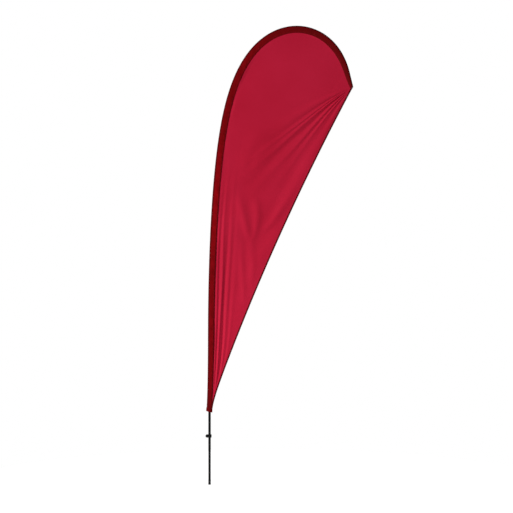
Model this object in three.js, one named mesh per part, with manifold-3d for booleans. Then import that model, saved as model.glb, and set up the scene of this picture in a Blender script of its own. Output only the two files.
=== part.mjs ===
// Teardrop flag: a sail with a sewn sleeve on a bent sectional pole, and the tension gear at its foot.
// Millimetres. +Z is up, +X points from the pole to the sail's tip corner, and the sail lies near the XZ plane.
// The origin is the centre of the pole's bottom rim.

import * as THREE from 'three';
import { mergeVertices } from 'three/addons/utils/BufferGeometryUtils.js';
import Module from 'manifold-3d';

const wasm = await Module();
wasm.setup();

// Gap between pieces that touch.
const GAP = 0.3;

// The pole line, by the distance s along it from the bottom rim. It stands upright to STRAIGHT_END, turns
// clockwise through an S-shaped change of heading, and is straight again from BEND_END to its tip.
const STRAIGHT_END = 900;
const BEND_END = 3333;
const BEND_TURN = 3.318;
const BEND_CENTRE = 2964;
const BEND_SPREAD = 240.5;
const LEAN_PER_MM = 7.14e-5;
const TRACE_STEP = 3;

// Pole sections.
const BUSH_HEIGHT = 30;
const BUSH_RADIUS = 7.85;
const BUSH_NECK_RADIUS = 7.1;
const BUSH_RIM_ROUND = 1.4;
const BUSH_GROOVE = [13, 14.5, 16.5, 18];
const BUSH_STEM_TOP = 58;
const BUSH_STEM_RADIUS = 5.2;
const SOCKET_RADIUS = 4.4;
const LOWER_RADIUS = 7.25;
const LOWER_BORE = 5.55;
const SOCKET_STOP_BOTTOM = 152;
const SOCKET_STOP_TOP = 154;
const DRAIN_RADIUS = 0.8;
const MID_RADIUS = 5.2;
const MID_BORE = 3.8;
const ENGAGED = 120;
const STOP_RING_HEIGHT = 25;
const MID_TOP = 2150;
const TIP_ENGAGED = 110;
const TIP_ROOT_RADIUS = 3.5;
const TIP_END_RADIUS = 2;
const TIP_END = 3404;
const FERRULE_HEIGHT = 40;
const FERRULE_WALL = 0.8;
const CAP_END = 3410;
const CAP_RADIUS = 3.6;
const CAP_LENGTH = 16;
const POCKET_WALL = 1.3;
const POCKET_LENGTH = 52;
const ROUND_SIDES = 24;
const POLE_SIDES = 12;

// The sleeve: a round nose over the pole and two flanks that meet at the seam, where the sail begins.
const SLEEVE_FOOT = 427;
const SLEEVE_END = 3421;
const SLEEVE_WALL = 1;
const NOSE_RADIUS = 9;
const NOSE_FLARE = 9.4;
const NOSE_FLARE_LENGTH = 150;
const HALF_THICKNESS = 8.85;
const SEAM_HALF_THICKNESS = 1;
const SEAM_WIDE = 33;
const SEAM_FOOT_TAPER = 19;
const SEAM_FOOT_LENGTH = 350;
const SEAM_TIP_TAPER = 22;
const SEAM_TIP_LENGTH = 110;
const FLANK_POWER = 1.35;
const CAVITY_SHARE = 0.8;
const FOOT_SLANT = 0.25;
const FOOT_SLANT_LENGTH = 40;
const END_PINCH = 5.5;
const END_PINCH_LENGTH = 5;
const FLANK_STEPS = 4;
const NOSE_STEPS = 7;
const FOOT_BAND_HEIGHT = 24;
const FOOT_BAND_WALL = 1;

// The free edge, the leech: a hollow curve from the foot to the tip corner, with a short flare at the foot.
const LEECH_FOOT = new THREE.Vector2(-3.4, 424);
const LEECH_TIP = new THREE.Vector2(840.4, 2330);
const LEECH_HOLLOW = 42.5;
const LEECH_FLARE = 18.9;
const LEECH_FLARE_LENGTH = 60;
const HEM_WIDTH = 8.7;
const HEM_THICKNESS = 1.8;
const HEM_FOOT = 455;
const HEM_END = 2325;

// The sail.
const SAIL_FOOT = 500;
const SAIL_LUFF_END = 3415;
const SAIL_LEECH_END = 2318;
const SAIL_THICKNESS = 1;
const SAIL_FAN = 1.6;
const GENTLE_STEP = 100;
const GENTLE_END = 2000;
const BEND_STEP = 45;

// Tension gear.
const COLLAR_Z = 285;
const COLLAR_HEIGHT = 17.7;
const COLLAR_RADIUS = 12;
const COLLAR_BORE = 7.65;
const EAR_X = -14.65;
const EAR_HALF_THICKNESS = 9.6;
const EAR_SLOT = 2;
const SCREW_X = -15;
const SCREW_RADIUS = 2;
const SCREW_HOLE_RADIUS = 2.3;
const SCREW_HEAD_RADIUS = 3.4;
const SCREW_HEAD_HEIGHT = 2.9;
const SCREW_REACH = 10.5;
const NUT_RADIUS = 4.04;
const NUT_HEIGHT = 3.2;
const NUT_RECESS = 3.4;
const KNOB_RADIUS = 7;
const KNOB_LOBE = 0.6;
const KNOB_LOBES = 10;
const KNOB_HEIGHT = 7.7;
const PEG_RADIUS = 2.3;
const PEG_END = 18.5;
const PEG_HEAD_RADIUS = 3.8;
const PEG_HEAD_HEIGHT = 2;
const CORD_RADIUS = 1.5;
const CORD_TOP_Y = 12;
const CORD_FOOT_Y = 15.5;
const TAB_WIDTH = 12;
const TAB_THICKNESS = 3;
const TAB_TOP = 449;
const TAB_BOTTOM = 404;

const UP = new THREE.Vector3(0, 0, 1);
const ACROSS = new THREE.Vector3(0, 1, 0);

const COLOURS = {
  sail: { color: 0xb01e34, roughness: 0.62, metalness: 0 },
  sleeve: { color: 0x74040c, roughness: 0.75, metalness: 0 },
  hem: { color: 0x6e0a14, roughness: 0.75, metalness: 0 },
  webbing: { color: 0x161416, roughness: 0.85, metalness: 0 },
  anodised: { color: 0x121214, roughness: 0.38, metalness: 0.8 },
  fibreglass: { color: 0x181a1c, roughness: 0.35, metalness: 0 },
  steel: { color: 0x9a9da0, roughness: 0.35, metalness: 1 },
  plastic: { color: 0x0e0e10, roughness: 0.55, metalness: 0 },
  elastic: { color: 0x101012, roughness: 0.9, metalness: 0 },
};

const flag = new THREE.Group();

function addMesh(name, geometry, finish) {
  const mesh = new THREE.Mesh(geometry, new THREE.MeshStandardMaterial(COLOURS[finish]));
  mesh.name = name;
  flag.add(mesh);
}

// --- The pole line ---

function logistic(s) {
  return 1 / (1 + Math.exp((BEND_CENTRE - s) / BEND_SPREAD));
}

// Heading in radians, clockwise from upright.
function headingAt(s) {
  const along = THREE.MathUtils.clamp(s, STRAIGHT_END, BEND_END);
  return BEND_TURN * (logistic(along) - logistic(STRAIGHT_END)) + LEAN_PER_MM * (along - STRAIGHT_END);
}

function tangentAt(s) {
  return new THREE.Vector3(Math.sin(headingAt(s)), 0, Math.cos(headingAt(s)));
}

// Points every TRACE_STEP along the pole line, each found from the last by the heading halfway between them.
function tracePole() {
  const points = [new THREE.Vector3()];
  for (let s = 0; s < SLEEVE_END; s += TRACE_STEP) {
    const step = tangentAt(s + TRACE_STEP / 2).multiplyScalar(TRACE_STEP);
    points.push(points.at(-1).clone().add(step));
  }
  return points;
}

const trace = tracePole();

function poleAt(s) {
  const index = Math.min(Math.floor(s / TRACE_STEP), trace.length - 2);
  return trace[index].clone().lerp(trace[index + 1], s / TRACE_STEP - index);
}

// The direction from the pole line to the sail.
function inwardAt(s) {
  return new THREE.Vector3().crossVectors(ACROSS, tangentAt(s));
}

// --- Solids from rings of points ---

function orientOutward(points, triangles) {
  let volume = 0;
  for (let i = 0; i < triangles.length; i += 3) {
    const [a, b, c] = triangles.slice(i, i + 3).map((index) => points[index]);
    volume += a.dot(new THREE.Vector3().crossVectors(b, c));
  }
  return volume < 0 ? triangles.slice().reverse() : triangles;
}

// A closed skin through rings with equal, even counts of points. The rings of a tube close on themselves.
// Any other skin ends in two flat caps, each a strip from one side of its ring to the other.
function skin(rings, isTube = false) {
  const count = rings[0].length;
  const triangles = [];
  const spans = isTube ? rings.length : rings.length - 1;
  for (let i = 0; i < spans; i += 1) {
    const here = i * count;
    const there = ((i + 1) % rings.length) * count;
    for (let j = 0; j < count; j += 1) {
      const next = (j + 1) % count;
      triangles.push(here + j, there + j, here + next);
      triangles.push(here + next, there + j, there + next);
    }
  }
  if (!isTube) {
    const last = (rings.length - 1) * count;
    for (let j = 0; j < count / 2 - 1; j += 1) {
      const mirror = count - 1 - j;
      triangles.push(j, j + 1, mirror);
      triangles.push(j + 1, mirror - 1, mirror);
      triangles.push(last + j, last + mirror, last + j + 1);
      triangles.push(last + j + 1, last + mirror, last + mirror - 1);
    }
  }
  const points = rings.flat();
  const geometry = new THREE.BufferGeometry().setFromPoints(points);
  geometry.setIndex(orientOutward(points, triangles));
  geometry.computeVertexNormals();
  return geometry;
}

function circle(centre, tangent, radius, sides) {
  const side = new THREE.Vector3().crossVectors(ACROSS, tangent).normalize();
  const other = new THREE.Vector3().crossVectors(tangent, side).normalize();
  return Array.from({ length: sides }, (_, k) => {
    const angle = (2 * Math.PI * (k + 0.5)) / sides;
    return centre.clone()
      .addScaledVector(side, radius * Math.cos(angle))
      .addScaledVector(other, radius * Math.sin(angle));
  });
}

function poleCircle(s, radius) {
  return circle(poleAt(s), tangentAt(s), radius, POLE_SIDES);
}

function spaced(from, to, step) {
  const count = Math.max(1, Math.round((to - from) / step));
  return Array.from({ length: count + 1 }, (_, k) => THREE.MathUtils.lerp(from, to, k / count));
}

function bendStations(from, to) {
  if (to <= GENTLE_END) return spaced(from, to, GENTLE_STEP);
  if (from >= GENTLE_END) return spaced(from, to, BEND_STEP);
  return [...spaced(from, GENTLE_END, GENTLE_STEP), ...spaced(GENTLE_END, to, BEND_STEP).slice(1)];
}

// A tube of even wall along the pole line.
function poleTube(from, to, radius, bore) {
  const stations = bendStations(from, to);
  const outside = stations.map((s) => poleCircle(s, radius));
  const inside = stations.map((s) => poleCircle(s, bore)).reverse();
  return skin([...outside, ...inside], true);
}

// A cup along the pole line, open towards the pole's foot.
function poleCup(from, cavityEnd, to, radius, bore) {
  const shoulder = to - 0.4 * (to - cavityEnd);
  return skin([
    poleCircle(to, 0.7 * radius),
    poleCircle(shoulder, radius),
    poleCircle(from, radius),
    poleCircle(from, bore),
    poleCircle(cavityEnd, bore),
  ]);
}

// A turned piece on the Z axis from a closed profile of [radius, height] corners.
function turned(corners) {
  const profile = [...corners, corners[0]].map(([radius, height]) => new THREE.Vector2(radius, height));
  return new THREE.LatheGeometry(profile, ROUND_SIDES).rotateX(Math.PI / 2);
}

function turnedTube(radius, bore, bottom, top) {
  return turned([[bore, bottom], [radius, bottom], [radius, top], [bore, top]]);
}

// --- Booleans ---

function toManifold(geometry) {
  const bare = geometry.clone();
  bare.deleteAttribute('normal');
  bare.deleteAttribute('uv');
  const merged = mergeVertices(bare, 1e-4);
  return new wasm.Manifold(new wasm.Mesh({
    numProp: 3,
    vertProperties: new Float32Array(merged.attributes.position.array),
    triVerts: new Uint32Array(merged.index.array),
  }));
}

function fromManifold(solid) {
  const mesh = solid.getMesh();
  const geometry = new THREE.BufferGeometry();
  geometry.setAttribute('position', new THREE.BufferAttribute(mesh.vertProperties, 3));
  geometry.setIndex(new THREE.BufferAttribute(mesh.triVerts, 1));
  geometry.computeVertexNormals();
  return geometry;
}

// A cylinder along Y between two values of y, at the collar's height.
function crossBar(x, fromY, toY, radius, sides = ROUND_SIDES) {
  return new THREE.CylinderGeometry(radius, radius, toY - fromY, sides)
    .translate(x, (fromY + toY) / 2, COLLAR_Z);
}

// An outline in X and Z, about the collar's height, made into a plate between two values of y.
function crossPlate(shape, fromY, toY) {
  return new THREE.ExtrudeGeometry(shape, { depth: toY - fromY, bevelEnabled: false, curveSegments: 10 })
    .rotateX(Math.PI / 2)
    .translate(0, toY, COLLAR_Z);
}

// --- Pole sections ---

function footBush() {
  const roundedRim = spaced(0, Math.PI / 2, Math.PI / 6).map((angle) => [
    BUSH_RADIUS - BUSH_RIM_ROUND * (1 - Math.sin(angle)),
    BUSH_RIM_ROUND * (1 - Math.cos(angle)),
  ]);
  return turned([
    [SOCKET_RADIUS, 0],
    ...roundedRim,
    [BUSH_RADIUS, BUSH_GROOVE[0]],
    [BUSH_NECK_RADIUS, BUSH_GROOVE[1]],
    [BUSH_NECK_RADIUS, BUSH_GROOVE[2]],
    [BUSH_RADIUS, BUSH_GROOVE[3]],
    [BUSH_RADIUS, BUSH_HEIGHT - GAP],
    [BUSH_STEM_RADIUS, BUSH_HEIGHT - GAP],
    [BUSH_STEM_RADIUS, BUSH_STEM_TOP],
    [SOCKET_RADIUS, BUSH_STEM_TOP],
  ]);
}

// A tube with a web across it, where a base's spindle stops. Rain drains through the hole in the web.
function lowerPole() {
  return turned([
    [LOWER_BORE, BUSH_HEIGHT],
    [LOWER_RADIUS, BUSH_HEIGHT],
    [LOWER_RADIUS, STRAIGHT_END],
    [LOWER_BORE, STRAIGHT_END],
    [LOWER_BORE, SOCKET_STOP_TOP],
    [DRAIN_RADIUS, SOCKET_STOP_TOP],
    [DRAIN_RADIUS, SOCKET_STOP_BOTTOM],
    [LOWER_BORE, SOCKET_STOP_BOTTOM],
  ]);
}

function tipPole() {
  const root = MID_TOP - TIP_ENGAGED;
  const taper = (s) => THREE.MathUtils.mapLinear(s, MID_TOP, TIP_END, TIP_ROOT_RADIUS, TIP_END_RADIUS);
  const radiusAt = (s) => Math.min(TIP_ROOT_RADIUS, taper(s));
  return skin(bendStations(root, TIP_END).map((s) => poleCircle(s, radiusAt(s))));
}

addMesh('foot_bush', footBush(), 'plastic');
addMesh('lower_pole', lowerPole(), 'anodised');
addMesh('mid_pole', poleTube(STRAIGHT_END - ENGAGED, MID_TOP, MID_RADIUS, MID_BORE), 'fibreglass');
addMesh(
  'stop_ring',
  turnedTube(LOWER_RADIUS, MID_RADIUS + GAP, STRAIGHT_END + GAP, STRAIGHT_END + STOP_RING_HEIGHT),
  'anodised',
);
addMesh(
  'tip_ferrule',
  poleTube(MID_TOP - FERRULE_HEIGHT, MID_TOP, MID_RADIUS + GAP + FERRULE_WALL, MID_RADIUS + GAP),
  'steel',
);
addMesh('tip_pole', tipPole(), 'fibreglass');
addMesh(
  'tip_cap',
  poleCup(CAP_END - CAP_LENGTH, TIP_END + GAP, CAP_END, CAP_RADIUS, TIP_END_RADIUS + GAP),
  'plastic',
);
addMesh(
  'tip_pocket',
  poleCup(
    CAP_END + GAP - POCKET_LENGTH,
    CAP_END + GAP,
    CAP_END + GAP + POCKET_WALL,
    CAP_RADIUS + GAP + POCKET_WALL,
    CAP_RADIUS + GAP,
  ),
  'webbing',
);

// --- Sleeve ---

function seamOffsetAt(s) {
  const footTaper = SEAM_FOOT_TAPER * Math.exp(-(s - SLEEVE_FOOT) / SEAM_FOOT_LENGTH);
  const tipTaper = SEAM_TIP_TAPER * Math.exp(-(SLEEVE_END - s) / SEAM_TIP_LENGTH);
  return SEAM_WIDE - footTaper - tipTaper;
}

function noseOffsetAt(s) {
  return NOSE_RADIUS + NOSE_FLARE * Math.exp(-(s - SLEEVE_FOOT) / NOSE_FLARE_LENGTH);
}

function halfThicknessAt(s) {
  return HALF_THICKNESS - END_PINCH * Math.exp(-(SLEEVE_END - s) / END_PINCH_LENGTH);
}

// A point of the sleeve's section: u runs from the pole line to the sail and v runs across it. The foot is cut
// at a slant, lower on the sail's side.
function sleevePoint(s, u, v) {
  const slant = FOOT_SLANT * Math.exp(-(s - SLEEVE_FOOT) / FOOT_SLANT_LENGTH);
  return poleAt(s)
    .addScaledVector(inwardAt(s), u)
    .addScaledVector(ACROSS, v)
    .addScaledVector(UP, -slant * u);
}

// The section's ring, from the seam along one flank, round the nose and back, inset from the outer surface.
function sleeveRing(s, inset, reach) {
  const half = halfThicknessAt(s);
  const seam = seamOffsetAt(s);
  const flank = (u) => {
    const bulge = (half - SEAM_HALF_THICKNESS) * (1 - Math.min(1, u / seam) ** FLANK_POWER);
    return SEAM_HALF_THICKNESS + bulge - inset;
  };
  const front = [];
  for (let k = 0; k <= FLANK_STEPS; k += 1) {
    const u = reach * (1 - k / FLANK_STEPS);
    front.push([u, -flank(u)]);
  }
  const nose = [];
  for (let k = 1; k < NOSE_STEPS; k += 1) {
    const angle = (Math.PI * k) / NOSE_STEPS;
    nose.push([-(noseOffsetAt(s) - inset) * Math.sin(angle), -(half - inset) * Math.cos(angle)]);
  }
  const back = front.map(([u, v]) => [u, -v]).reverse();
  return [...front, ...nose, ...back].map(([u, v]) => sleevePoint(s, u, v));
}

const sailStations = bendStations(SAIL_FOOT, SAIL_LUFF_END);
const footStations = [SLEEVE_FOOT, 440, 455, 475];

function poleSleeve() {
  const outer = [...footStations, ...sailStations, SLEEVE_END];
  const cavity = outer.filter((s) => s < CAP_END);
  cavity.push(CAP_END + POCKET_WALL + 2 * GAP);
  return skin([
    ...outer.map((s) => sleeveRing(s, 0, seamOffsetAt(s))).reverse(),
    ...cavity.map((s) => sleeveRing(s, SLEEVE_WALL, CAVITY_SHARE * seamOffsetAt(s))),
  ]);
}

function footBand() {
  const stations = spaced(SLEEVE_FOOT, SLEEVE_FOOT + FOOT_BAND_HEIGHT, 8);
  const outset = GAP + FOOT_BAND_WALL;
  const outside = stations.map((s) => sleeveRing(s, -outset, seamOffsetAt(s) + outset));
  const inside = stations.map((s) => sleeveRing(s, -GAP, seamOffsetAt(s) + GAP));
  return skin([...outside, ...inside.reverse()], true);
}

addMesh('pole_sleeve', poleSleeve(), 'sleeve');
addMesh('foot_band', footBand(), 'sleeve');

// --- Sail and leech hem ---

function leechAt(height) {
  const share = (height - LEECH_FOOT.y) / (LEECH_TIP.y - LEECH_FOOT.y);
  const straight = THREE.MathUtils.lerp(LEECH_FOOT.x, LEECH_TIP.x, share);
  const hollow = LEECH_HOLLOW * 4 * share * (1 - share);
  const flare = LEECH_FLARE * Math.exp(-(height - LEECH_FOOT.y) / LEECH_FLARE_LENGTH);
  return new THREE.Vector3(straight - hollow + flare, 0, height);
}

// A point inside the leech, at a distance square to it.
function insideLeech(height, distance) {
  const along = leechAt(height + 1).sub(leechAt(height - 1)).normalize();
  return leechAt(height).addScaledVector(new THREE.Vector3(-along.z, 0, along.x), distance);
}

// Near the foot the hem narrows to fit between the sleeve's seam and the leech.
function hemWidthAt(height) {
  const room = leechAt(height).x - seamOffsetAt(height) - GAP;
  return height > SAIL_FOOT ? HEM_WIDTH : Math.min(HEM_WIDTH, 0.93 * room);
}

// The height on the leech that a station on the luff is joined to.
function leechHeightFor(s) {
  const share = (s - SAIL_FOOT) / (SAIL_LUFF_END - SAIL_FOOT);
  return THREE.MathUtils.lerp(SAIL_FOOT, SAIL_LEECH_END, 1 - (1 - share) ** SAIL_FAN);
}

// A flat ring between two points of the flag's plane, as thick as the cloth.
function clothRing(inner, outer, thickness) {
  const half = thickness / 2;
  return [[inner, -half], [outer, -half], [outer, half], [inner, half]]
    .map(([point, y]) => point.clone().addScaledVector(ACROSS, y));
}

function sail() {
  return skin(sailStations.map((s) => {
    const height = leechHeightFor(s);
    const luff = sleevePoint(s, seamOffsetAt(s) + GAP, 0);
    return clothRing(luff, insideLeech(height, hemWidthAt(height) + GAP), SAIL_THICKNESS);
  }));
}

function leechHem() {
  const heights = [HEM_FOOT, 475, ...sailStations.map(leechHeightFor), HEM_END];
  return skin(heights.map((height) => {
    const inner = insideLeech(height, hemWidthAt(height));
    return clothRing(inner, leechAt(height), HEM_THICKNESS);
  }));
}

addMesh('sail', sail(), 'sail');
addMesh('leech_hem', leechHem(), 'hem');

// --- Tension gear ---

function earShape() {
  const half = COLLAR_HEIGHT / 2;
  const shape = new THREE.Shape();
  shape.moveTo(-COLLAR_BORE, -half);
  shape.lineTo(EAR_X, -half);
  shape.absarc(EAR_X, 0, half, -Math.PI / 2, Math.PI / 2, true);
  shape.lineTo(-COLLAR_BORE, half);
  return shape;
}

const nutSeat = EAR_HALF_THICKNESS - NUT_RECESS;

// A ring round the pole, split through two ears on one side, with a headed peg for the cord at the back. The
// rear ear has a recess for the nut.
function tensionCollar() {
  const upright = (radius, height) => new THREE.CylinderGeometry(radius, radius, height, ROUND_SIDES)
    .rotateX(Math.PI / 2)
    .translate(0, 0, COLLAR_Z);
  const slotLength = 2 * COLLAR_RADIUS;
  const slot = new THREE.BoxGeometry(slotLength, EAR_SLOT, 2 * COLLAR_HEIGHT)
    .translate(-COLLAR_BORE + 2 - slotLength / 2, 0, COLLAR_Z);
  const solid = toManifold(upright(COLLAR_RADIUS, COLLAR_HEIGHT))
    .add(toManifold(crossPlate(earShape(), -EAR_HALF_THICKNESS, EAR_HALF_THICKNESS)))
    .add(toManifold(crossBar(0, COLLAR_RADIUS - 2, PEG_END, PEG_RADIUS)))
    .add(toManifold(crossBar(0, PEG_END - 0.5, PEG_END - 0.5 + PEG_HEAD_HEIGHT, PEG_HEAD_RADIUS)))
    .subtract(toManifold(upright(COLLAR_BORE, 2 * COLLAR_HEIGHT)))
    .subtract(toManifold(slot))
    .subtract(toManifold(crossBar(SCREW_X, -2 * COLLAR_RADIUS, 2 * COLLAR_RADIUS, SCREW_HOLE_RADIUS)))
    .subtract(toManifold(crossBar(SCREW_X, nutSeat, 2 * COLLAR_RADIUS, NUT_RADIUS + GAP, 6)));
  return fromManifold(solid);
}

const headBack = -EAR_HALF_THICKNESS - GAP;
const headFront = headBack - SCREW_HEAD_HEIGHT;

function clampScrew() {
  const head = toManifold(crossBar(SCREW_X, headFront, headBack, SCREW_HEAD_RADIUS, 6));
  return fromManifold(head.add(toManifold(crossBar(SCREW_X, headBack - 1, SCREW_REACH, SCREW_RADIUS))));
}

function clampNut() {
  const from = nutSeat + GAP;
  const body = toManifold(crossBar(SCREW_X, from, from + NUT_HEIGHT, NUT_RADIUS, 6));
  return fromManifold(body.subtract(toManifold(crossBar(SCREW_X, 0, 2 * from, SCREW_HOLE_RADIUS))));
}

// A lobed grip moulded over the screw's head, open at the back.
function clampKnob() {
  const outline = Array.from({ length: 4 * KNOB_LOBES }, (_, k) => {
    const angle = (2 * Math.PI * k) / (4 * KNOB_LOBES);
    const radius = KNOB_RADIUS + KNOB_LOBE * Math.cos(KNOB_LOBES * angle);
    return new THREE.Vector2(radius * Math.cos(angle) + SCREW_X, radius * Math.sin(angle));
  });
  const grip = toManifold(crossPlate(new THREE.Shape(outline), headBack - KNOB_HEIGHT, headBack));
  const seat = crossBar(SCREW_X, headFront - GAP, headBack + 1, SCREW_HEAD_RADIUS + GAP);
  return fromManifold(grip.subtract(toManifold(seat)));
}

// Down from the tab, under the peg and up again.
function cordRoute() {
  const turn = PEG_RADIUS + GAP + CORD_RADIUS;
  const bend = spaced(Math.PI, 2 * Math.PI, Math.PI / 8);
  const points = bend.map((angle) => new THREE.Vector3(
    turn * Math.cos(angle),
    CORD_FOOT_Y,
    COLLAR_Z + turn * Math.sin(angle),
  ));
  const top = (side) => new THREE.Vector3(side * turn, CORD_TOP_Y, TAB_BOTTOM - GAP);
  return [top(-1), ...points, top(1)];
}

function tensionCord() {
  const route = cordRoute();
  return skin(route.map((point, k) => {
    const before = route[Math.max(0, k - 1)];
    const after = route[Math.min(route.length - 1, k + 1)];
    return circle(point, after.clone().sub(before).normalize(), CORD_RADIUS, 8);
  }));
}

function cordTab() {
  const outset = HALF_THICKNESS + FOOT_BAND_WALL + 2 * GAP;
  return new THREE.BoxGeometry(TAB_WIDTH, TAB_THICKNESS, TAB_TOP - TAB_BOTTOM)
    .translate(0, outset + TAB_THICKNESS / 2, (TAB_TOP + TAB_BOTTOM) / 2);
}

addMesh('cord_tab', cordTab(), 'webbing');
addMesh('tension_cord', tensionCord(), 'elastic');
addMesh('tension_collar', tensionCollar(), 'plastic');
addMesh('clamp_nut', clampNut(), 'steel');
addMesh('clamp_screw', clampScrew(), 'steel');
addMesh('clamp_knob', clampKnob(), 'plastic');

export default flag;
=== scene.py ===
"""The looks of the teardrop flag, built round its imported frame.

Metres, +Z up, +X from the pole to the sail's tip corner. The sail lies near the XZ plane.
"""

import math

import bpy
import numpy as np
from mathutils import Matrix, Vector


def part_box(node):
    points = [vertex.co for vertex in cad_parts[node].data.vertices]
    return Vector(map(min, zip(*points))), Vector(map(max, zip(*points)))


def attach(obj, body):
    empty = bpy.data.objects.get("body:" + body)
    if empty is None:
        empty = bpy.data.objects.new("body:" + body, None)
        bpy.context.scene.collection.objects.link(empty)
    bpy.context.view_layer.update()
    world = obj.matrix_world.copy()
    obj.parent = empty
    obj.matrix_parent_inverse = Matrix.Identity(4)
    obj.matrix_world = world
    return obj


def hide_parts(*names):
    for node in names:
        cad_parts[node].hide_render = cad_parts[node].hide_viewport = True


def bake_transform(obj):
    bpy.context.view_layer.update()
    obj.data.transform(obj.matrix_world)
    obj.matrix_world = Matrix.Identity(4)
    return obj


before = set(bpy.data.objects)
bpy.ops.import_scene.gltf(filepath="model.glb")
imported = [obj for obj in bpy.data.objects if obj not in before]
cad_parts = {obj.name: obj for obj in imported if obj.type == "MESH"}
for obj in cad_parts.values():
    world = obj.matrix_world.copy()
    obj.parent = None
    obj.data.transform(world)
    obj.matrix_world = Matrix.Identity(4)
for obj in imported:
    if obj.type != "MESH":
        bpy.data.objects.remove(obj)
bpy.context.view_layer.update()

# The pole line, by the distance s along it from its bottom rim: straight, bent, and straight again.
STRAIGHT_END = 0.9
BEND_END = 3.333
BEND_TURN = 3.318
BEND_CENTRE = 2.964
BEND_SPREAD = 0.2405
LEAN_PER_M = 0.0714
TRACE_STEP = 0.002

# The sleeve's section, by how far its nose and its seam lie from the pole line.
SLEEVE_FOOT = 0.427
SLEEVE_END = 3.421
NOSE_RADIUS = 0.009
NOSE_FLARE = 0.0094
NOSE_FLARE_LENGTH = 0.15
HALF_THICKNESS = 0.00885
SEAM_HALF_THICKNESS = 0.001
SEAM_WIDE = 0.033
SEAM_FOOT_TAPER = 0.019
SEAM_FOOT_LENGTH = 0.35
SEAM_TIP_TAPER = 0.022
SEAM_TIP_LENGTH = 0.11
FLANK_POWER = 1.35
FOOT_SLANT = 0.25
FOOT_SLANT_LENGTH = 0.04
END_PINCH = 0.0055
END_PINCH_LENGTH = 0.005
CLOTH = 0.0005
PINCH_START = 3.38
FOOT_BAND_HEIGHT = 0.024

# The free edge, the leech, from the foot to the tip corner, and its hem.
LEECH_FOOT = (-0.0034, 0.424)
LEECH_TIP = (0.8404, 2.33)
LEECH_HOLLOW = 0.0425
LEECH_FLARE = 0.0189
LEECH_FLARE_LENGTH = 0.06
LEECH_WAVE_HEIGHT = 0.0022
HEM_WIDTH = 0.0087
HEM_FOOT = 0.4475
HEM_END = 2.3332

# The sail.
SAIL_START = 0.4495
SAIL_FOOT = 0.5
SAIL_LEECH_END = 2.328
SAIL_BELLY = 0.008
SAIL_TUCK = 0.006
SAIL_THICKNESS = 0.0003


# --- Lines of the flag ---

def logistic(s):
    return 1 / (1 + np.exp((BEND_CENTRE - s) / BEND_SPREAD))


def heading_at(s):
    along = np.clip(s, STRAIGHT_END, BEND_END)
    return BEND_TURN * (logistic(along) - logistic(STRAIGHT_END)) + LEAN_PER_M * (along - STRAIGHT_END)


trace_s = np.arange(0, SLEEVE_END + 2 * TRACE_STEP, TRACE_STEP)
trace_heading = heading_at(trace_s[:-1] + TRACE_STEP / 2)
trace_x = np.concatenate([[0], np.cumsum(np.sin(trace_heading)) * TRACE_STEP])
trace_z = np.concatenate([[0], np.cumsum(np.cos(trace_heading)) * TRACE_STEP])


def seam_offset_at(s):
    foot_taper = SEAM_FOOT_TAPER * np.exp(-(s - SLEEVE_FOOT) / SEAM_FOOT_LENGTH)
    tip_taper = SEAM_TIP_TAPER * np.exp(-(SLEEVE_END - s) / SEAM_TIP_LENGTH)
    return SEAM_WIDE - foot_taper - tip_taper


def nose_offset_at(s):
    return NOSE_RADIUS + NOSE_FLARE * np.exp(-(s - SLEEVE_FOOT) / NOSE_FLARE_LENGTH)


def half_thickness_at(s):
    return HALF_THICKNESS - END_PINCH * np.exp(-(SLEEVE_END - s) / END_PINCH_LENGTH)


def sleeve_points(s, u, v):
    """Points of the sleeve: u runs from the pole line to the sail, and v across it."""
    heading = heading_at(s)
    slant = FOOT_SLANT * np.exp(-(s - SLEEVE_FOOT) / FOOT_SLANT_LENGTH)
    x = np.interp(s, trace_s, trace_x) + np.cos(heading) * u
    z = np.interp(s, trace_s, trace_z) - np.sin(heading) * u - slant * u
    return stacked(x, v, z)


def leech_x(height):
    share = (height - LEECH_FOOT[1]) / (LEECH_TIP[1] - LEECH_FOOT[1])
    straight = LEECH_FOOT[0] + share * (LEECH_TIP[0] - LEECH_FOOT[0])
    hollow = LEECH_HOLLOW * 4 * share * (1 - share)
    return straight - hollow + LEECH_FLARE * np.exp(-(height - LEECH_FOOT[1]) / LEECH_FLARE_LENGTH)


def inside_leech(height, distance):
    """Points inside the leech, at a distance square to it, in the plane y = 0."""
    step = 0.001
    run = leech_x(height + step) - leech_x(height - step)
    length = np.hypot(run, 2 * step)
    x = leech_x(height) - distance * 2 * step / length
    z = height + distance * run / length
    return stacked(x, 0.0, z)


def hem_width_at(height):
    """The hem's width. By the foot it narrows with the room between the sleeve and the leech."""
    room = leech_x(height) - seam_offset_at(height) - 0.0003
    return np.where(height > SAIL_FOOT, HEM_WIDTH, np.minimum(HEM_WIDTH, 0.93 * room))


def leech_wave(height):
    """The small sideways wave of the free edge: a long and a short wave that die out at both its ends."""
    share = np.clip((height - SAIL_START) / (SAIL_LEECH_END - SAIL_START), 0, 1)
    calm = np.sin(np.pi * share) ** 0.7
    return LEECH_WAVE_HEIGHT * calm * (np.sin(height * 9.0 + 0.6) + 0.5 * np.sin(height * 21.0 + 2.0))


# --- Small helpers ---

def stacked(*grids):
    """A grid of points, or of corner numbers, from a grid or one value for each of their parts."""
    return np.stack(np.broadcast_arrays(*grids), axis=-1)


def unit(vectors):
    return vectors / np.linalg.norm(vectors, axis=-1, keepdims=True)


def ripple(t, wavelengths, phases):
    """A sum of sines with a height near 1."""
    total = sum(np.sin(2 * np.pi * t / w + p) for w, p in zip(wavelengths, phases))
    return total / math.sqrt(len(wavelengths))


def smooth_step(t):
    t = np.clip(t, 0, 1)
    return t * t * (3 - 2 * t)


def bell(t, power=2):
    """A bell curve: 1 at t = 0, and flatter on top with a higher power."""
    return np.exp(-(t ** power))


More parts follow.
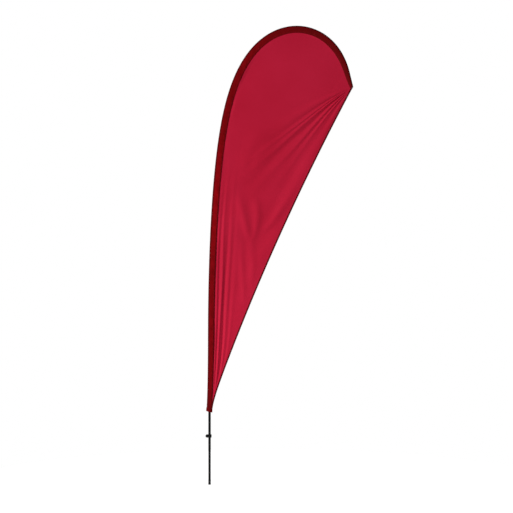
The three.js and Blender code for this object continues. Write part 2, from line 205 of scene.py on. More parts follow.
def ring_angles(count):
    """The angles of points round a ring, as a row."""
    return np.linspace(0, 2 * np.pi, count, endpoint=False)[None, :]


def facing(line, side):
    """A line of points, with outward normals along Y to its side, -1 or 1."""
    return line, np.tile([0.0, side, 0.0], (len(line), 1))


def flat_section(count):
    """Across and back over a flat piece: how far across each point of its rings is, and on which side."""
    flat = np.linspace(0, 1, count)
    across = np.concatenate([flat, flat[::-1]])[None, :]
    side = np.concatenate([-np.ones(count), np.ones(count)])[None, :]
    return across, side


# --- Meshes ---

def add_object(name, data):
    added = bpy.data.objects.new(name, data)
    bpy.context.scene.collection.objects.link(added)
    return added


def add_smooth(name, mesh, material):
    mesh.materials.clear()
    mesh.materials.append(material)
    mesh.polygons.foreach_set("use_smooth", [True] * len(mesh.polygons))
    return add_object(name, mesh)


def add_mesh(name, points, faces, material):
    mesh = bpy.data.meshes.new(name)
    mesh.from_pydata([tuple(p) for p in points], [], faces)
    mesh.validate()
    mesh.update()
    return add_smooth(name, mesh, material)


def grid_faces(rows, columns, around=False, loop=False, first=0):
    """Quads over a grid of points. With around, each row closes on itself, and with loop the rows do."""
    i = np.arange(rows if loop else rows - 1)[:, None]
    j = np.arange(columns if around else columns - 1)[None, :]
    here, there = i * columns, (i + 1) % rows * columns
    after = (j + 1) % columns
    corners = stacked(here + j, here + after, there + after, there + j)
    return (corners.reshape(-1, 4) + first).tolist()


def fan_caps(rows, columns, centres):
    """Triangles from each end row of a closed grid to its centre point."""
    faces = []
    for first, centre, turn in ((0, centres[0], -1), ((rows - 1) * columns, centres[1], 1)):
        for j in range(columns):
            pair = [first + j, first + (j + 1) % columns][::turn]
            faces.append([*pair, centre])
    return faces


def strip_caps(rows, columns):
    """Quads across each end row of a closed grid, from its first half to its second."""
    faces = []
    for first, turn in ((0, -1), ((rows - 1) * columns, 1)):
        for j in range(columns // 2 - 1):
            mirror = columns - 1 - j
            quad = [first + j, first + j + 1, first + mirror - 1, first + mirror]
            faces.append(quad[::turn])
    return faces


def set_painted_shade(piece, amount):
    """Sets painted shade on a cloth piece: how dark each point is painted, from 0 to 1, as shade where
    layers or the pole lie behind it.
    """
    painted_shade = piece.data.attributes.new("painted_shade", "FLOAT", "POINT")
    painted_shade.data.foreach_set("value", np.ascontiguousarray(amount, dtype=np.float32).ravel())


def turn_outward(piece):
    """Turns a closed mesh's faces to point out of it."""
    mesh = piece.data
    mesh.calc_loop_triangles()
    co = np.array([v.co for v in mesh.vertices])
    a, b, c = (co[[t.vertices[k] for t in mesh.loop_triangles]] for k in range(3))
    if (a * np.cross(b, c)).sum() < 0:
        mesh.flip_normals()
    return piece


def lofted(name, rings, material, caps="strip"):
    """A closed skin through rings of equal counts. caps is strip, fan, or loop where the rings close."""
    rows, columns = rings.shape[:2]
    faces = grid_faces(rows, columns, around=True, loop=caps == "loop")
    points = rings.reshape(-1, 3)
    if caps == "strip":
        faces += strip_caps(rows, columns)
    if caps == "fan":
        centres = [len(points), len(points) + 1]
        points = np.concatenate([points, rings[:1].mean(1), rings[-1:].mean(1)])
        faces += fan_caps(rows, columns, centres)
    return turn_outward(add_mesh(name, points, faces, material))


def spaced(points, pitch):
    """Points a pitch apart along a line of points, and the line's tangents there."""
    gaps = np.linalg.norm(np.diff(points, axis=0), axis=1)
    length = np.concatenate([[0], np.cumsum(gaps)])
    at = np.arange(pitch / 2, length[-1], pitch)
    found = np.stack([np.interp(at, length, points[:, k]) for k in range(3)], axis=1)
    return found, unit(np.gradient(found, axis=0))


def stitches(name, lines, material, pitch=0.0042, thread=0.00028, share=0.72):
    """Thread stitches along lines. Each line is (points, outward normals of the cloth there), and each
    stitch is a short closed tube that thins and dips into the cloth at both ends."""
    rings, sides = 5, 6
    t = np.linspace(-1, 1, rings)[:, None, None]
    radius = thread * (1 - 0.55 * t * t)
    angle = ring_angles(sides)[..., None]
    points, faces = [], []
    for line, outward in lines:
        centres, tangents = spaced(line, pitch)
        index = np.linspace(0, len(line) - 1, len(centres)).round().astype(int)
        normals = outward[index]
        across = np.cross(tangents, normals)
        for centre, tangent, normal, side in zip(centres, tangents, normals, across):
            first = len(points)
            middle = centre + tangent * t * pitch * share / 2 - normal * thread * 0.9 * t * t
            tube = middle + radius * (np.cos(angle) * normal + np.sin(angle) * side)
            points.extend(tube.reshape(-1, 3))
            faces += grid_faces(rings, sides, around=True, first=first)
            faces.append([first + j for j in range(sides)][::-1])
            faces.append([first + (rings - 1) * sides + j for j in range(sides)])
    return add_mesh(name, points, faces, material)


# --- Materials ---

THREADS_PER_METRE = 1500
# Slubs lie along both ways of the weave: noise that is drawn out along one way each.
SLUB_WAYS = ((900, 900, 30), (30, 30, 900))
SLUB_STRENGTH = 0.25


def new_material(name):
    material = bpy.data.materials.new(name)
    material.use_nodes = True
    return material, material.node_tree, material.node_tree.nodes["Principled BSDF"]


def set_inputs(node, values):
    for name, value in values.items():
        node.inputs[name].default_value = value


def object_coordinates(tree, scale=(1, 1, 1)):
    place = tree.nodes.new("ShaderNodeTexCoord")
    mapping = tree.nodes.new("ShaderNodeMapping")
    set_inputs(mapping, {"Scale": scale})
    tree.links.new(place.outputs["Object"], mapping.inputs["Vector"])
    return mapping.outputs["Vector"]


def noise(tree, vector, scale, detail=2.0, roughness=0.5):
    node = tree.nodes.new("ShaderNodeTexNoise")
    set_inputs(node, {"Scale": scale, "Detail": detail, "Roughness": roughness})
    tree.links.new(vector, node.inputs["Vector"])
    return node.outputs["Fac"]


def threads(tree, vector, direction, per_metre):
    """Parallel rounded threads, as a height from 0 to 1."""
    node = tree.nodes.new("ShaderNodeTexWave")
    node.wave_type = "BANDS"
    node.bands_direction = direction
    node.wave_profile = "SIN"
    # A wave of scale 1 repeats about every 0.314.
    set_inputs(node, {"Scale": per_metre * 0.314, "Distortion": 0.4, "Detail": 1.0})
    tree.links.new(vector, node.inputs["Vector"])
    return node.outputs["Fac"]


def mix_colours(tree, factor, low, high):
    ramp = tree.nodes.new("ShaderNodeValToRGB")
    for element, position, colour in zip(ramp.color_ramp.elements, (0.3, 0.7), (low, high)):
        element.position = position
        element.color = (*colour, 1)
    tree.links.new(factor, ramp.inputs["Fac"])
    return ramp.outputs["Color"]


def combine(tree, operation, a, b):
    node = tree.nodes.new("ShaderNodeMath")
    node.operation = operation
    for socket, value in zip(node.inputs, (a, b)):
        if isinstance(value, (int, float)):
            socket.default_value = value
        else:
            tree.links.new(value, socket)
    return node.outputs["Value"]


def bump(tree, height, distance, strength=1.0, under=None):
    node = tree.nodes.new("ShaderNodeBump")
    set_inputs(node, {"Distance": distance, "Strength": strength})
    tree.links.new(height, node.inputs["Height"])
    if under is not None:
        tree.links.new(under, node.inputs["Normal"])
    return node.outputs["Normal"]


def darkened(tree, colour, amount, dark):
    mix = tree.nodes.new("ShaderNodeMix")
    mix.data_type = "RGBA"
    set_inputs(mix, {"B": (*dark, 1)})
    tree.links.new(amount, mix.inputs["Factor"])
    tree.links.new(colour, mix.inputs["A"])
    return mix.outputs["Result"]


def cloth_material(name, low, high, dark, roughness=0.75, sheen=0.0, tone_scale=28):
    """Plain-woven polyester: fine threads both ways, slubs, and changes of tone. It takes painted shade
    where the mesh's attribute of painted shade says so."""
    material, tree, shader = new_material(name)
    vector = object_coordinates(tree)
    warp = threads(tree, vector, "X", THREADS_PER_METRE)
    weft = threads(tree, vector, "Z", THREADS_PER_METRE)
    weave = combine(tree, "MAXIMUM", warp, weft)
    tone = noise(tree, vector, tone_scale, 3.0)
    both_ways = (noise(tree, object_coordinates(tree, way), 1.0) for way in SLUB_WAYS)
    slubs = combine(tree, "ADD", *both_ways)
    grain = combine(tree, "MULTIPLY", combine(tree, "SUBTRACT", slubs, 1.0), SLUB_STRENGTH)
    colour = mix_colours(tree, combine(tree, "ADD", tone, grain), low, high)
    # Painted shade: the colour is mixed towards the dark colour by the mesh's painted shade attribute.
    painted_shade = tree.nodes.new("ShaderNodeAttribute")
    painted_shade.attribute_name = "painted_shade"
    tree.links.new(darkened(tree, colour, painted_shade.outputs["Fac"], dark), shader.inputs["Base Color"])
    set_inputs(shader, {"Roughness": roughness, "Specular IOR Level": 0.05})
    set_inputs(shader, {"Sheen Weight": sheen, "Sheen Roughness": 0.45, "Sheen Tint": (*high, 1)})
    rough = bump(tree, slubs, 0.0001, 0.5)
    tree.links.new(bump(tree, weave, 0.00012, 0.6, rough), shader.inputs["Normal"])
    return material


def thread_material(name, low, high):
    material, tree, shader = new_material(name)
    vector = object_coordinates(tree)
    twist = noise(tree, vector, 2500, 1.0)
    tree.links.new(mix_colours(tree, twist, low, high), shader.inputs["Base Color"])
    set_inputs(shader, {"Roughness": 0.5, "Specular IOR Level": 0.2, "Sheen Weight": 0.05})
    tree.links.new(bump(tree, twist, 0.0001), shader.inputs["Normal"])
    return material


def vary_roughness(tree, shader, pattern, middle, amount):
    """Roughness that follows a pattern about its middle value."""
    spread = combine(tree, "MULTIPLY", combine(tree, "SUBTRACT", pattern, 0.5), amount)
    tree.links.new(combine(tree, "ADD", spread, middle), shader.inputs["Roughness"])


def metal_material(name, low, high, roughness, metallic, stretch):
    """Drawn metal, or drawn fibreglass, with fine marks along its length."""
    material, tree, shader = new_material(name)
    streaks = noise(tree, object_coordinates(tree, stretch), 1.0, 4.0, 0.6)
    patches = noise(tree, object_coordinates(tree), 35, 3.0)
    tree.links.new(mix_colours(tree, patches, low, high), shader.inputs["Base Color"])
    set_inputs(shader, {"Metallic": metallic, "Specular IOR Level": 0.5 if metallic else 0.08})
    vary_roughness(tree, shader, streaks, roughness, 0.35)
    tree.links.new(bump(tree, streaks, 0.00005, 0.4), shader.inputs["Normal"])
    return material


def plastic_material(name, low, high, roughness=0.5):
    """Moulded plastic with a fine eroded texture."""
    material, tree, shader = new_material(name)
    vector = object_coordinates(tree)
    grain = noise(tree, vector, 1800, 3.0, 0.6)
    scuffs = noise(tree, vector, 90, 4.0)
    tree.links.new(mix_colours(tree, scuffs, low, high), shader.inputs["Base Color"])
    set_inputs(shader, {"Specular IOR Level": 0.15})
    vary_roughness(tree, shader, scuffs, roughness, 0.3)
    tree.links.new(bump(tree, grain, 0.0001, 0.5), shader.inputs["Normal"])
    return material


def webbing_material(name, low, high):
    """Ribbed webbing with its ribs across Z."""
    material, tree, shader = new_material(name)
    vector = object_coordinates(tree)
    ribs = threads(tree, vector, "Z", 700)
    cords = threads(tree, vector, "X", 1100)
    weave = combine(tree, "ADD", ribs, combine(tree, "MULTIPLY", cords, 0.5))
    tone = noise(tree, vector, 400)
    tree.links.new(mix_colours(tree, tone, low, high), shader.inputs["Base Color"])
    set_inputs(shader, {"Roughness": 0.8, "Specular IOR Level": 0.15, "Sheen Weight": 0.04})
    tree.links.new(bump(tree, weave, 0.0003, 0.8), shader.inputs["Normal"])
    return material


# Each cloth's third colour is the painted shade colour it is mixed towards; only the sleeve and its foot
# band set where.
sail_cloth = cloth_material(
    "sail_cloth", (0.405, 0.0068, 0.028), (0.45, 0.0100, 0.037), (0.25, 0.003, 0.01),
    roughness=0.62, sheen=0.2, tone_scale=2.3,
)
sleeve_cloth = cloth_material(
    "sleeve_cloth", (0.24, 0.0007, 0.0024), (0.33, 0.0013, 0.0050), (0.05, 0.0001, 0.0003),
)
hem_cloth = cloth_material(
    "hem_cloth", (0.065, 0.0002, 0.0012), (0.095, 0.0004, 0.002), (0.05, 0.0001, 0.0004),
)
red_thread = thread_material("red_thread", (0.1384, 0.001214, 0.004391), (0.2232, 0.003035, 0.009134))
black_thread = thread_material("black_thread", (0.006, 0.006, 0.007), (0.016, 0.016, 0.017))
webbing = webbing_material("black_webbing", (0.003, 0.003, 0.0035), (0.009, 0.009, 0.0095))
elastic = webbing_material("black_elastic", (0.004, 0.004, 0.0045), (0.012, 0.012, 0.013))
anodised = metal_material(
    "black_anodised", (0.0015, 0.0015, 0.0016), (0.004, 0.004, 0.0042),
    roughness=0.45, metallic=0.0, stretch=(900, 900, 12),
)
fibreglass = metal_material(
    "black_fibreglass", (0.006, 0.006, 0.007), (0.014, 0.014, 0.015),
    roughness=0.35, metallic=0.0, stretch=(1500, 1500, 8),
)
zinc = metal_material(
    "zinc_plate", (0.45, 0.45, 0.46), (0.62, 0.62, 0.6),
    roughness=0.35, metallic=1.0, stretch=(600, 60, 600),
)
black_plastic = plastic_material("black_plastic", (0.0015, 0.0015, 0.0017), (0.005, 0.005, 0.0055))


# --- Sail ---

# The sail's mesh has rows from the sleeve to the leech. They cross the flag at its foot, and from FAN_START
# up they fan out from the tip corner, as the folds there do.
FAN_START = 1.15
FAN_MIDDLE = 2.15
FAN_END = SLEEVE_END - 0.003
FAN_LEECH_START = 2.29
SAIL_ROWS = (90, 190, 100)
SAIL_COLUMNS = 128
COLUMN_POWER = 1.5
COLUMN_CROWDING = 0.2
# How much of a row's length at the sleeve, and of a level line's at the leech, counts square to the edge.
LUFF_SLANT = 0.7
LEECH_SLANT = 0.9
# How far in from each edge the sail stays flat, and how far in its belly, folds and wave come or go.
LUFF_CALM = 0.014
HEM_CALM = 0.012
BELLY_FROM_HEM = 0.10
SLACK_FROM_HEM = 0.07
WAVE_REACH = 0.15
GATHER_FROM_LUFF = 0.006
GATHER_REACH = 0.016
GATHER_HEIGHT = 0.00045
SWELL_HEIGHT = 0.0012
SWELL_WAY = (0.9, 0.43)

# Folds that fan out from the tip corner: degrees below level, width in degrees, height in millimetres and
# reach in metres.
TIP_CORNER = (0.843, 2.331)
TIP_FOLDS = [
    (21.5, 3.2, -1.6, 0.42),
    (28.0, 3.4, 3.4, 0.55),
    (33.2, 1.5, -2.6, 0.55),
    (35.6, 0.8, 2.2, 0.62),
    (37.3, 0.7, -1.5, 0.50),
    (39.2, 1.1, 3.0, 0.66),
    (42.8, 2.0, -4.6, 0.80),
    (46.6, 1.3, 3.0, 0.66),
    (49.2, 1.1, -2.0, 0.48),
    (51.8, 1.3, 2.4, 0.60),
    (56.0, 2.2, -1.8, 0.55),
    (61.0, 2.2, 1.4, 0.45),
]
# Near the corner the folds start nearer to level, and they grow from nothing at the corner itself.
TIP_LEAD = 12
TIP_LEAD_LENGTH = 0.22
TIP_GROWTH = 0.075
# Folds that rise from the foot and then keep their distance from the sleeve's seam: that distance, half
# their width and their height in millimetres, and the height in metres that they fade at.
FOOT_FOLDS = [
    (11, 3.5, 2.0, 1.6),
    (24, 5.0, -3.0, 1.6),
    (41, 7.0, 4.2, 1.6),
    (64, 9.0, -4.4, 1.5),
    (84, 7.0, 1.2, 1.7),
    (101, 9.0, -1.4, 1.6),
    (122, 12.0, 1.4, 1.4),
]
FOOT_SPREAD = 0.3
FOOT_GROWTH = 0.16
# Slack folds: their ends (x, z), how far they bow to the right, half their width, and their height in
# millimetres.
SLACK_FOLDS = [
    ((0.172, 1.72), (0.242, 1.42), -0.006, 0.024, 4.6),
    ((0.262, 1.70), (0.248, 1.42), 0.026, 0.022, 4.2),
    ((0.243, 1.45), (0.258, 1.12), 0.004, 0.026, 4.3),
    ((0.184, 1.46), (0.220, 0.98), -0.008, 0.016, 3.0),
    ((0.300, 1.42), (0.292, 1.16), 0.010, 0.018, 2.2),
    ((0.450, 1.63), (0.300, 1.48), 0.010, 0.022, 4.6),
    ((0.520, 1.73), (0.340, 1.54), 0.008, 0.022, 3.6),
    ((0.600, 1.88), (0.430, 1.63), 0.008, 0.026, 2.4),
    ((0.400, 2.02), (0.250, 1.86), -0.012, 0.040, 3.6),
    ((0.330, 2.10), (0.180, 1.84), -0.010, 0.042, 3.0),
]


# The sleeve's seam from the foot up past the top of the foot folds.
seam_s = np.arange(SLEEVE_FOOT, 2.4, 0.01)
seam_trace = sleeve_points(seam_s, seam_offset_at(seam_s), 0.0)


def tip_folds(x, z):
    left, below = TIP_CORNER[0] - x, TIP_CORNER[1] - z
    radius = np.hypot(left, below)
    angle = np.degrees(np.arctan2(below, left)) + TIP_LEAD * np.exp(-radius / TIP_LEAD_LENGTH)
    height = np.zeros_like(x)
    grow = 1 - bell(radius / TIP_GROWTH)
    for place, width, rise, reach in TIP_FOLDS:
        wander = 0.25 * width * np.sin(radius * 11 + place)
        fade = bell(radius / reach, 3)
        height += rise / 1000 * bell((angle - place - wander) / width) * grow * fade
    return height


def foot_folds(x, z):
    distance = x - np.interp(z, seam_trace[:, 2], seam_trace[:, 0])
    spread = 1 - np.exp(-np.maximum(z - SAIL_START, 0.02) / FOOT_SPREAD)
    at = 1000 * distance / spread
    height = np.zeros_like(x)
    grow = 1 - bell((z - SAIL_START) / FOOT_GROWTH)
    for place, width, rise, top in FOOT_FOLDS:
        wander = 0.35 * width * np.sin(9 * z + place)
        fade = bell(z / top, 8)
        height += rise / 1000 * bell((at - place - wander) / width) * grow * fade
    return height


def slack_folds(x, z):
    height = np.zeros_like(x)
    for (x0, z0), (x1, z1), bow, width, rise in SLACK_FOLDS:
        run, drop = x1 - x0, z1 - z0
        length = math.hypot(run, drop)
        t = ((x - x0) * run + (z - z0) * drop) / length ** 2
        across = ((x - x0) * -drop + (z - z0) * run) / length
        within = np.clip(t, 0, 1)
        bend = 4 * bow * within * (1 - within)
        ends = bell((t - 0.5) / 0.42, 4)
        spread = width * (1.25 - 0.5 * within)
        height += rise / 1000 * ends * bell((across - bend) / spread)
    return height


def sail_relief(x, z, from_hem):
    """How far the folds stand towards the viewer."""
    run, climb = SWELL_WAY
    along_diagonal = run * x + climb * z
    across_diagonal = -climb * x + run * z
    swell = SWELL_HEIGHT * ripple(across_diagonal, (0.31, 0.47, 0.23), (0.4, 2.2, 4.1))
    swell *= 1 + 0.5 * ripple(along_diagonal, (0.9, 1.4), (1.0, 3.0))
    slack = (slack_folds(x, z) + swell) * smooth_step(from_hem / SLACK_FROM_HEM)
    return tip_folds(x, z) + foot_folds(x, z) + slack


def seam_gathers(s, distance):
    """Small gathers that the seam's thread draws in the sail beside the sleeve."""
    fade = np.exp(-distance / GATHER_REACH)
    return GATHER_HEIGHT * fade * ripple(s, (0.041, 0.063, 0.089), (0.2, 1.9, 3.3))


def sail_rows():
    """The place of each row along the sleeve, and the height on the leech that it runs to."""
    foot, middle, top = SAIL_ROWS
    s = np.concatenate([
        np.linspace(SAIL_START, FAN_START, foot, endpoint=False),
        np.linspace(FAN_START, FAN_MIDDLE, middle, endpoint=False),
        np.linspace(FAN_MIDDLE, FAN_END, top),
    ])[:, None]
    rise = np.clip((s - SAIL_START) / (FAN_START - SAIL_START), 0, 1)
    level = FAN_START - SAIL_START
    foot_height = SAIL_START + level * rise + (FAN_LEECH_START - SAIL_START - level) * rise ** 2
    fan = np.clip((s - FAN_START) / (FAN_END - FAN_START), 0, 1)
    return s, foot_height + (SAIL_LEECH_END - FAN_LEECH_START) * fan


def sail_columns():
    """The place of each column across the sail, from 0 to 1. They lie closer together near both edges."""
    even = np.linspace(0, 1, SAIL_COLUMNS)[None, :]
    crowded = even ** COLUMN_POWER - COLUMN_CROWDING * even ** (COLUMN_POWER + 4)
    return crowded / (1 - COLUMN_CROWDING)


def sail_grid():
    s, height = sail_rows()
    share = sail_columns()
    luff = sleeve_points(s, seam_offset_at(s) - SAIL_TUCK, 0.0)
    hem = hem_width_at(height)
    leech = inside_leech(height, hem - np.minimum(SAIL_TUCK, 0.7 * hem))
    points = luff + (leech - luff) * share[..., None]
    x, z = points[..., 0], points[..., 2]
    width = np.linalg.norm(leech - luff, axis=-1)
    from_luff = LUFF_SLANT * share * width
    from_hem = np.maximum(LEECH_SLANT * (leech_x(z) - x) - hem, 0)
    calm = smooth_step(from_luff / LUFF_CALM - 0.3) * smooth_step(from_hem / HEM_CALM)
    bulge = SAIL_BELLY * 4 * share * (1 - share) * width / width.max()
    belly = bulge * smooth_step(from_hem / BELLY_FROM_HEM)
    gathers = seam_gathers(s, from_luff) * smooth_step(from_luff / GATHER_FROM_LUFF)
    wave = leech_wave(z) * bell(from_hem / WAVE_REACH)
    points[..., 1] = belly - sail_relief(x, z, from_hem) * calm - gathers + wave
    return points


def make_sail():
    points = sail_grid()
    rows, columns = points.shape[:2]
    piece = add_mesh("sail_panel", points.reshape(-1, 3), grid_faces(rows, columns), sail_cloth)
    thick = piece.modifiers.new("thickness", "SOLIDIFY")
    thick.thickness = SAIL_THICKNESS
    thick.offset = 0
    return piece


sail = make_sail()
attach(sail, "mast")
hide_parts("sail")


# --- Sleeve ---

# Puckers: their heights, how far they reach from the seam, and where along the pole its bend adds to them.
PUCKER_HEIGHT = 0.00025
PUCKER_REACH = 0.010
CREASE_HEIGHT = 0.0007
CREASE_FADE = 0.012
BEND_PUCKER_START = 1.9
BEND_PUCKER_LENGTH = 0.6
# Painted shade on the cloth: a painted dark band at the seam, lighter above SEAM_LIGHTER, painted shade
# over the black pole, and on the flanks painted shade with a painted highlight about SLACK_MIDDLE, darker
# from ARCH_START on.
SEAM_BAND = 0.007
SEAM_LIGHTER = 1.35
POLE_BAND_EDGE = 0.006
POLE_BAND_FADE = 0.009
SLACK_MIDDLE = 1.65
SLACK_SPREAD = 0.3
ARCH_START = 2.5
ARCH_FADE = 0.5


def flank_profile(u, seam, half):
    """Half the sleeve's thickness at u: full over the pole, and thin at the seam."""
    return SEAM_HALF_THICKNESS + (half - SEAM_HALF_THICKNESS) * (1 - np.clip(u / seam, 0, 1) ** FLANK_POWER)


def sleeve_section(s, inset=0.0, seam_end=0.0, flank_steps=16, nose_steps=18):
    """Rings (u, v) from the seam, or seam_end past it, along the front flank, round the nose and back."""
    half = half_thickness_at(s)
    seam = seam_offset_at(s)
    nose = nose_offset_at(s)
    share = np.linspace(1, 0, flank_steps + 1)[None, :]
    u = (seam + seam_end) * share
    v = flank_profile(u, seam, half) - inset
    angle = np.linspace(0, np.pi, nose_steps + 1)[None, 1:-1]
    nose_u = -(nose - inset) * np.sin(angle)
    nose_v = -(half - inset) * np.cos(angle)
    u_ring = np.concatenate([u, nose_u, u[:, ::-1]], axis=1)
    v_ring = np.concatenate([-v, nose_v, v[:, ::-1]], axis=1)
    return u_ring, v_ring


def sleeve_pucker(s, u, v):
    """Small gathers where the seam's thread draws the cloth, and soft creases along the slack flanks."""
    seam = seam_offset_at(s)
    near_seam = bell((seam - u) / PUCKER_REACH)
    flank = np.clip(u / seam, 0, 1) * np.clip((seam - u) / CREASE_FADE, 0, 1)
    bend = np.clip((s - BEND_PUCKER_START) / BEND_PUCKER_LENGTH, 0, 1)
    side = np.where(v > 0, 1.7, 0.0)
    size = PUCKER_HEIGHT * (1 + 1.2 * bend)
    gathers = size * ripple(s + 0.1 * u, (0.021, 0.034, 0.013), (side, 1.0 + side, 2.0))
    creases = CREASE_HEIGHT * ripple(s + 2.2 * u, (0.19, 0.33, 0.11, 0.07), (side, 2.0, 1.0 + side, 0.5))
    return near_seam * gathers + flank * creases


def sleeve_swell(s, u, v):
    """What v is multiplied by to raise the puckers."""
    return 1 + sleeve_pucker(s, u, v) / np.maximum(np.abs(v), 0.002)


def sleeve_painted_shade(s, u):
    """Painted shade on the cloth, 0 to 1: the darkest of the seam's painted band, the pole's painted band
    and the flanks' painted shade and highlight.
    """
    # Painted dark bands along the seam and over the black pole.
    seam_strength = 0.85 - 0.25 * smooth_step((s - SEAM_LIGHTER) / 0.3)
    seam_band = bell((seam_offset_at(s) - u) / SEAM_BAND, 4) * seam_strength
    pole_band = 0.85 * smooth_step((POLE_BAND_EDGE - u) / POLE_BAND_FADE)
    # A painted highlight about SLACK_MIDDLE, and more painted shade from ARCH_START on.
    slack = 0.35 * bell((s - SLACK_MIDDLE) / SLACK_SPREAD)
    flanks = 0.35 - slack + 0.4 * smooth_step((s - ARCH_START) / ARCH_FADE)
    return np.maximum(np.maximum(seam_band, pole_band), flanks)


sleeve_rows = np.concatenate([
    np.arange(SLEEVE_FOOT, PINCH_START, 0.006),
    np.linspace(PINCH_START, SLEEVE_END, 16),
])


def make_sleeve():
    s = sleeve_rows[:, None]
    outer_u, outer_v = sleeve_section(s)
    swell = sleeve_swell(s, outer_u, outer_v)
    inner_u, inner_v = sleeve_section(s, inset=CLOTH)
    outside = sleeve_points(s, outer_u, outer_v * swell)
    inside = sleeve_points(s, inner_u, inner_v * swell)
    piece = lofted("sleeve_cloth_tube", np.concatenate([outside, inside[:, ::-1]], axis=1), sleeve_cloth)
    # Painted shade on the sleeve, the same on its outer and inner skins.
    painted_shade = sleeve_painted_shade(s, outer_u)
    set_painted_shade(piece, np.concatenate([painted_shade, painted_shade[:, ::-1]], axis=1))
    return piece


sleeve = make_sleeve()
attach(sleeve, "mast")
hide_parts("pole_sleeve")


def seam_line(setback, side):
    s = sleeve_rows[sleeve_rows < SLEEVE_END - 0.012]
    seam = seam_offset_at(s)
    u = seam - setback
    v = side * flank_profile(u, seam, half_thickness_at(s))
    return facing(sleeve_points(s, u, v * sleeve_swell(s, u, v) + side * 0.00015), side)


sleeve_stitches = stitches(
    "sleeve_seam_stitches",
    [seam_line(setback, side) for setback in (0.0022, 0.0078) for side in (-1, 1)],
    red_thread,
)
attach(sleeve_stitches, "mast")


def make_foot_band():
    """A band round the sleeve's foot, with rolled edges and small puckers above its lower one."""
    s = np.linspace(SLEEVE_FOOT - 0.0006, SLEEVE_FOOT + FOOT_BAND_HEIGHT, 26)[:, None]
    share = (s - s.min()) / (s.max() - s.min())
    roll = 0.0005 * np.sqrt(np.clip(1 - (2 * share - 1) ** 8, 0, 1))
    outer_u, outer_v = sleeve_section(s, inset=-0.0007, seam_end=0.0011)
    pucker = 0.00022 * np.sin(np.arctan2(outer_v, outer_u) * 21) * (1 - share)
    grow = 1 + (roll + pucker) / NOSE_RADIUS
    outside = sleeve_points(s, outer_u * grow, outer_v * grow)
    inner_u, inner_v = sleeve_section(s, inset=-0.0001, seam_end=0.0003)
    inside = sleeve_points(s, inner_u, inner_v)
    rings = np.concatenate([outside, inside[::-1]], axis=0)
    piece = lofted("foot_band_cloth", rings, sleeve_cloth, "loop")
    # Painted shade: the whole band is painted dark at 0.75.
    set_painted_shade(piece, np.full(rings.shape[:2], 0.75))
    return piece


foot_band = make_foot_band()
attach(foot_band, "mast")
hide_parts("foot_band")


def band_line(height):
    s = np.full((1, 1), SLEEVE_FOOT + height)
    u, v = sleeve_section(s, inset=-0.0013, seam_end=0.0014)
    line = sleeve_points(s, u, v)[0]
    outward = line - line.mean(0)
    outward[:, 2] = 0
    return line, unit(outward)


band_stitches = stitches(
    "foot_band_stitches", [band_line(h) for h in (0.0035, 0.0205)], red_thread, pitch=0.0036,
)
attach(band_stitches, "mast")


# --- Leech hem ---

HEM_HALF_THICKNESS = 0.00085
HEM_EDGE_HALF_THICKNESS = 0.00012


def make_hem():
    height = np.arange(HEM_FOOT, HEM_END, 0.005)[:, None]
    width = hem_width_at(height)
    across, side = flat_section(10)
    thickness = HEM_HALF_THICKNESS * (1 - (2 * across - 1) ** 10) ** 0.5 + HEM_EDGE_HALF_THICKNESS
    gathers = 0.00018 * ripple(height, (0.017, 0.026, 0.041), (0.3, 1.1, 2.6)) * np.sin(np.pi * across)
    base = inside_leech(height, width * across)
    base[..., 1] = leech_wave(height) + side * thickness + gathers
    return lofted("leech_hem_cloth", base, hem_cloth)


hem = make_hem()
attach(hem, "mast")
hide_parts("leech_hem")


def hem_line(side):
    height = np.arange(SAIL_FOOT + 0.002, HEM_END - 0.004, 0.004)
    line = inside_leech(height, hem_width_at(height) - 0.0018)
    line[:, 1] = leech_wave(height) + side * 0.00098
    return facing(line, side)


hem_stitches = stitches("leech_hem_stitches", [hem_line(-1), hem_line(1)], red_thread, thread=0.00025)
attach(hem_stitches, "mast")


# --- Tip corner ---

PATCH_BOTTOM = 2.297
PATCH_HALF_THICKNESS = 0.0012
PATCH_ROWS = 40
PATCH_SEWN_EDGE = 0.12
# The first of the patch's rows that is sewn, just past the sleeve's end.
PATCH_FIRST_SEWN = 7


def patch_edges():
    """The corner patch's inner and outer edges, from inside the sleeve's end down over the hem."""
    tucked = np.array([SLEEVE_END - 0.007, SLEEVE_END - 0.002])
    heights = np.linspace(HEM_END - 0.003, PATCH_BOTTOM, PATCH_ROWS)
    below = heights[0] - heights
    inner = np.concatenate([
        sleeve_points(tucked, seam_offset_at(tucked) - 0.003, 0.0),
        inside_leech(heights, HEM_WIDTH + 0.0008 + 0.0027 * np.exp(-below / 0.004)),
    ])
    outer = np.concatenate([
        sleeve_points(tucked, 0.0008 - nose_offset_at(tucked), 0.0),
        inside_leech(heights, -0.0002 - 0.0008 * bell(below / 0.01)),
    ])
    return inner, outer


def make_patch():
    """A folded patch that joins the sleeve's end, the sail and the hem."""
    inner, outer = patch_edges()
    across, side = flat_section(12)
    rings = inner[:, None, :] * (1 - across[..., None]) + outer[:, None, :] * across[..., None]
    round_edge = (1 - (2 * across - 1) ** 8) ** 0.5
    puckers = 0.00012 * ripple(rings[..., 2], (0.0052, 0.0083), (0.4, 1.9))
    face = side * (PATCH_HALF_THICKNESS * round_edge + 0.0001)
    rings[..., 1] = leech_wave(rings[..., 2]) + face + puckers
    return lofted("tip_corner_patch", rings, hem_cloth)


patch = make_patch()
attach(patch, "mast")


def patch_line(rows, share, side):
    """A line on the patch: down some of its rows at one share of its width, or along one row at many."""
    inner, outer = (edge[rows] for edge in patch_edges())
    line = inner * (1 - share) + outer * share
    line[:, 1] = leech_wave(line[:, 2]) + side * (PATCH_HALF_THICKNESS + 0.0002)
    return facing(line, side)


